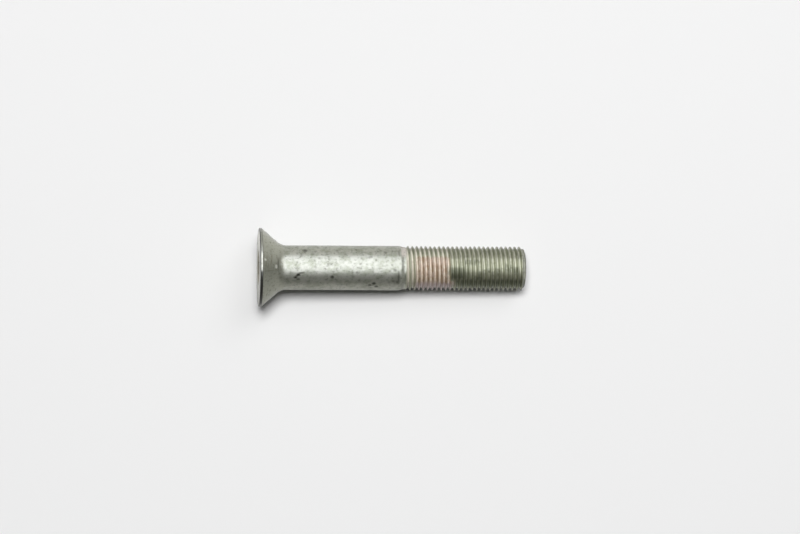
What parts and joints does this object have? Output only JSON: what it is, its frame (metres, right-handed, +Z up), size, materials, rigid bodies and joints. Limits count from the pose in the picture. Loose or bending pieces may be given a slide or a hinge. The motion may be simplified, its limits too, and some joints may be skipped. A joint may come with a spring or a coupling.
{
  "type": "socket head screw",
  "caption": "Flat countersunk socket head cap screw with a hexagon socket, a plain shank and a fine right-hand thread, lying on its side.",
  "frame": {"origin": "on the table under the middle of the lying screw's bounding box", "axes": "+X along the table from the head to the point, +Z up; the screw's own axis dips 3.8 degrees towards the point, because it rests on the rim of its head and on its last threads"},
  "size_m": [0.0764, 0.0222, 0.0223],
  "materials": {
    "plated_steel": "satin grey-green zinc alloy plating, finely mottled, with dried pink thread locker on the first threads"
  },
  "bodies": {
    "root": {"screw": "plated_steel"}
  },
  "joints": []
}
